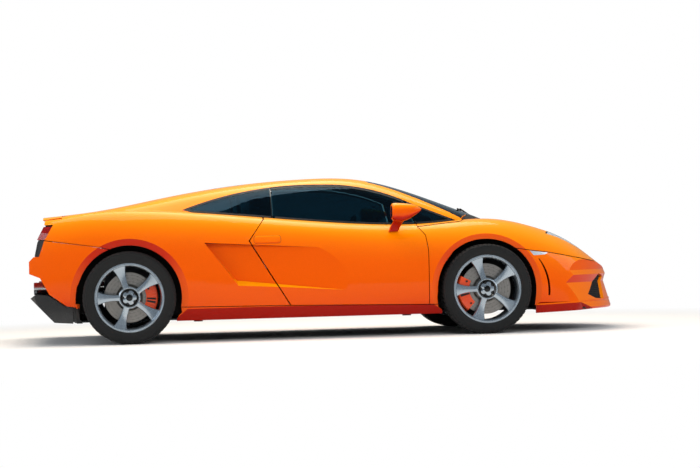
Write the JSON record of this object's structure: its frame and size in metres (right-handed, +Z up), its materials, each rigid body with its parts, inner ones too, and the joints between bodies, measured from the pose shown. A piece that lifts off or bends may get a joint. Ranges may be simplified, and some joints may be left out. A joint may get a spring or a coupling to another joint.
{
  "type": "mid-engined sports coupe",
  "caption": "Low, wide mid-engined two-seat coupe with doors, lids, tail flap, steered front wheels and turning wheels.",
  "frame": {"origin": "on the ground, midway between nose and tail and between the two sides", "axes": "+X forward to the nose, +Y to the car's left, +Z up"},
  "size_m": [4.345, 2.0736, 1.1694],
  "materials": {
    "paint": "gloss",
    "black_trim": "satin",
    "black_gloss": "gloss",
    "black_mesh": "matte",
    "floor_metal": "satin",
    "liner": "matte",
    "glass": "gloss",
    "lamp_clear": "gloss",
    "lamp_red": "gloss",
    "steel": "polished",
    "engine_metal": "satin",
    "arm_metal": "satin",
    "leather": "satin",
    "dash": "matte",
    "wheel_leather": "satin",
    "tyre": "matte",
    "rim": "satin",
    "disc": "machined",
    "caliper": "gloss"
  },
  "bodies": {
    "body": {"arch_liners": "liner", "body_frame": "paint", "brake_caliper_rear_left": "caliper", "brake_caliper_rear_right": "caliper", "cowl": "black_trim", "dashboard": "dash", "diffuser": "black_trim", "engine": "engine_metal", "exhaust": "steel", "fixed_side_glass": "glass", "front_bumper": "paint", "front_fenders": "paint", "grilles": "black_mesh", "headlamps": "lamp_clear", "rear_bumper": "paint", "rear_panel": "black_mesh", "rear_window": "glass", "seats": "leather", "side_markers": "lamp_clear", "sills": "paint", "suspension": "arm_metal", "tail_lamps": "lamp_red", "tub": "floor_metal", "window_pillars": "black_gloss", "windscreen": "glass", "wiper": "black_trim"},
    "knuckle_right": {"knuckle_front_right": "arm_metal", "brake_caliper_front_right": "caliper"},
    "wheel_front_right": {"tyre_front_right": "tyre", "rim_front_right": "rim", "brake_disc_front_right": "disc"},
    "wheel_rear_right": {"tyre_rear_right": "tyre", "rim_rear_right": "rim", "brake_disc_rear_right": "disc"},
    "door_right": {"door_right": "paint", "door_glass_right": "glass", "door_mirror_right": "paint"},
    "knuckle_left": {"knuckle_front_left": "arm_metal", "brake_caliper_front_left": "caliper"},
    "wheel_front_left": {"tyre_front_left": "tyre", "rim_front_left": "rim", "brake_disc_front_left": "disc"},
    "wheel_rear_left": {"tyre_rear_left": "tyre", "rim_rear_left": "rim", "brake_disc_rear_left": "disc"},
    "door_left": {"door_left": "paint", "door_glass_left": "glass", "door_mirror_left": "paint"},
    "front_lid": {"front_lid": "paint"},
    "engine_lid": {"engine_lid": "paint"},
    "spoiler": {"spoiler": "paint"},
    "steering_wheel": {"steering_wheel": "wheel_leather"}
  },
  "joints": [
    {"name": "steer_right", "type": "hinge", "parent": "body", "child": "knuckle_right", "pos_m": [1.089, -0.751, 0.3235], "axis": [0, 0, 1], "range_deg": [-32, 32]},
    {"name": "spin_front_right", "type": "hinge", "parent": "knuckle_right", "child": "wheel_front_right", "pos_m": [1.089, -0.816, 0.3235], "axis": [0, 1, 0], "continuous": true},
    {"name": "spin_rear_right", "type": "hinge", "parent": "body", "child": "wheel_rear_right", "pos_m": [-1.471, -0.7985, 0.33], "axis": [0, 1, 0], "continuous": true},
    {"name": "door_right_hinge", "type": "hinge", "parent": "body", "child": "door_right", "pos_m": [0.574, -0.928, 0.45], "axis": [0, 0, 1], "range_deg": [0, 65]},
    {"name": "steer_left", "type": "hinge", "parent": "body", "child": "knuckle_left", "pos_m": [1.089, 0.751, 0.3235], "axis": [0, 0, 1], "range_deg": [-32, 32]},
    {"name": "spin_front_left", "type": "hinge", "parent": "knuckle_left", "child": "wheel_front_left", "pos_m": [1.089, 0.816, 0.3235], "axis": [0, 1, 0], "continuous": true},
    {"name": "spin_rear_left", "type": "hinge", "parent": "body", "child": "wheel_rear_left", "pos_m": [-1.471, 0.7985, 0.33], "axis": [0, 1, 0], "continuous": true},
    {"name": "door_left_hinge", "type": "hinge", "parent": "body", "child": "door_left", "pos_m": [0.574, 0.928, 0.45], "axis": [0, 0, -1], "range_deg": [0, 65]},
    {"name": "front_lid_hinge", "type": "hinge", "parent": "body", "child": "front_lid", "pos_m": [1.075, 0, 0.829], "axis": [0, -1, 0], "range_deg": [0, 60]},
    {"name": "engine_lid_hinge", "type": "hinge", "parent": "body", "child": "engine_lid", "pos_m": [-0.831, 0, 1.0925], "axis": [0, 1, 0], "range_deg": [0, 45]},
    {"name": "spoiler_hinge", "type": "hinge", "parent": "body", "child": "spoiler", "pos_m": [-1.943, 0, 0.923], "axis": [0, 1, 0], "range_deg": [0, 12]},
    {"name": "steering_wheel_turn", "type": "hinge", "parent": "body", "child": "steering_wheel", "pos_m": [0.217, 0.37, 0.72], "axis": [0.9272, 0, -0.3746], "range_deg": [-416, 416]}
  ],
  "couplings": [
    {"joint": "steer_left", "follows": "steer_right", "ratio": 1},
    {"joint": "steering_wheel_turn", "follows": "steer_right", "ratio": -13}
  ]
}
